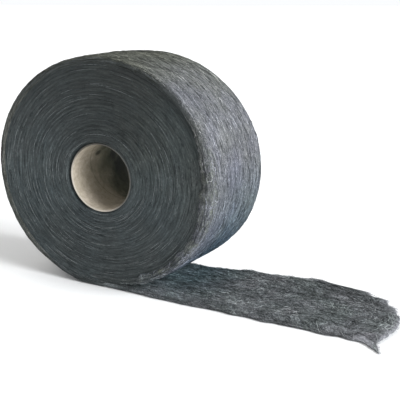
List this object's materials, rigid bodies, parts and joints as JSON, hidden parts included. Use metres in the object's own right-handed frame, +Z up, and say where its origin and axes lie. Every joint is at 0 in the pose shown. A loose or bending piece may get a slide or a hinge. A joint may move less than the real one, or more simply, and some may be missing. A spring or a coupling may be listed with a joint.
{
  "type": "steel wool roll",
  "caption": "Soft roll of steel wool ribbon wound on a cardboard tube, lying on its side with its torn loose end spread out along the surface.",
  "frame": {"origin": "middle of the small flat spot that the roll rests on, straight below the tube's axis, at the height of the surface it stands on", "axes": "+Z up, +X along the loose end away from the roll, Y along the tube's axis; the end seen in the picture faces -Y"},
  "size_m": [0.4113, 0.137, 0.225],
  "materials": {
    "steel_wool": "matt mat of fine steel fibres",
    "grey_board": "bare spiral-wound grey-brown board"
  },
  "bodies": {
    "root": {"steel_wool_ribbon": "steel_wool", "cardboard_tube": "grey_board"}
  },
  "joints": []
}
